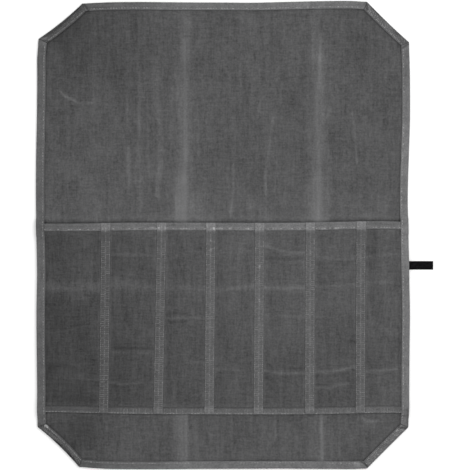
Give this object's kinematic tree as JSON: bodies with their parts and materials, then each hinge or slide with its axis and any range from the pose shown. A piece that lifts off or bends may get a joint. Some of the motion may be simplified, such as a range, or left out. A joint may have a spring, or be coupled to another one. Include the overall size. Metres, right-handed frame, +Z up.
{
  "type": "chef knife roll",
  "caption": "Knife roll of dark waxed canvas laid open and flat, with cut corners, taped edges, a row of pockets parted by sewn tapes and a short black side tab.",
  "frame": {"origin": "middle of the canvas's underside, on the surface that the roll lies on", "axes": "+X towards the side with the black tab, +Y from the pockets towards the flap's far edge, +Z up"},
  "size_m": [0.5159, 0.6089, 0.0113],
  "materials": {
    "canvas": "matt waxed cotton canvas",
    "tape": "matt woven cotton tape",
    "black_tape": "matt black woven tape"
  },
  "bodies": {
    "root": {"base_panel": "canvas", "pocket_panel": "canvas", "binding_left": "tape", "binding_corner_tl": "tape", "binding_top": "tape", "binding_corner_tr": "tape", "binding_right": "tape", "binding_corner_br": "tape", "binding_bottom": "tape", "binding_corner_bl": "tape", "mouth_binding": "tape", "foot_band": "tape", "divider_1": "tape", "divider_2": "tape", "divider_3": "tape", "divider_4": "tape", "divider_5": "tape", "divider_6": "tape", "side_tab": "black_tape"}
  },
  "joints": []
}
